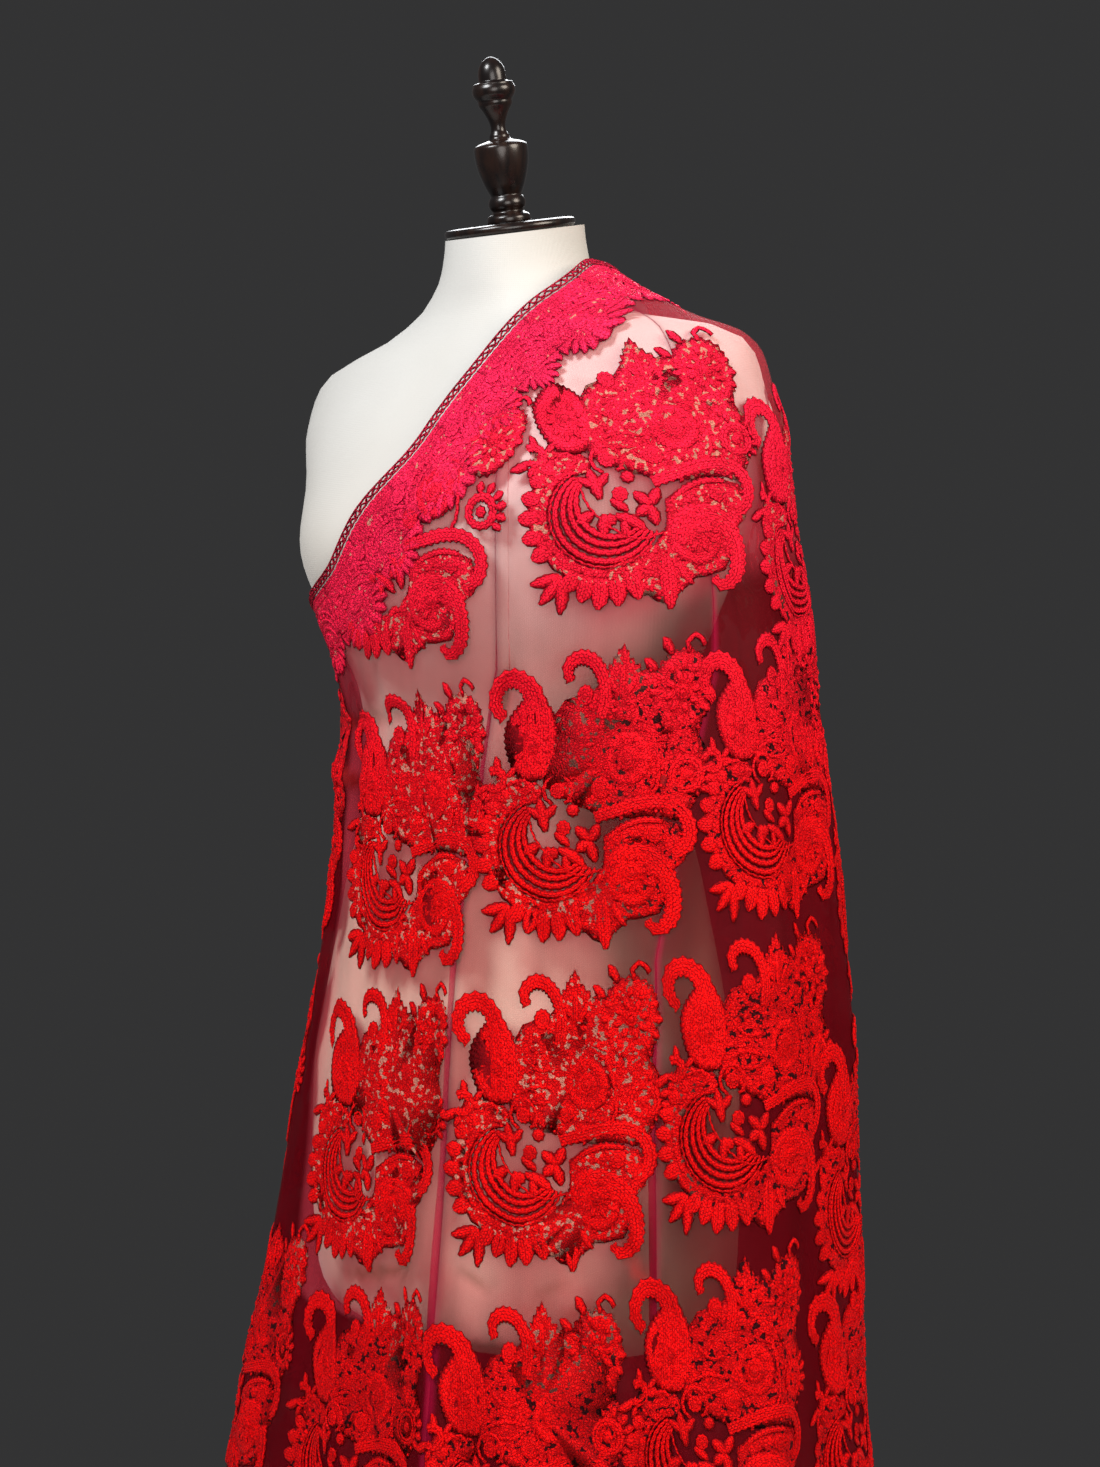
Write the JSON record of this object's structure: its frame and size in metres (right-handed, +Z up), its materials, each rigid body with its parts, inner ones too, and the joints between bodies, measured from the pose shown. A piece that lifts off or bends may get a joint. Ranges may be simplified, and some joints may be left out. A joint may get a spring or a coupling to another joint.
{
  "type": "dupatta worn over one shoulder of a limbless dress form",
  "caption": "Sheer red net dupatta with thick paisley embroidery, draped over the left shoulder of a limbless dress form with a turned wooden finial, pole and round base.",
  "frame": {"origin": "centre of the round base's underside, on the floor", "axes": "+Z up along the pole, the form faces -Y, and the form's left side, with the draped shoulder, is +X"},
  "size_m": [0.5326, 0.4303, 1.5227],
  "materials": {
    "net": "matte",
    "embroidery": "satin",
    "jersey": "matte",
    "turned_wood": "gloss"
  },
  "bodies": {
    "root": {"front_drape": "net", "side_fall": "net", "back_drape": "net", "border_front": "embroidery", "border_side": "embroidery", "border_back": "embroidery", "form_torso": "jersey", "neck_plate": "turned_wood", "finial": "turned_wood", "stand_pole": "turned_wood", "stand_base": "turned_wood"}
  },
  "joints": []
}
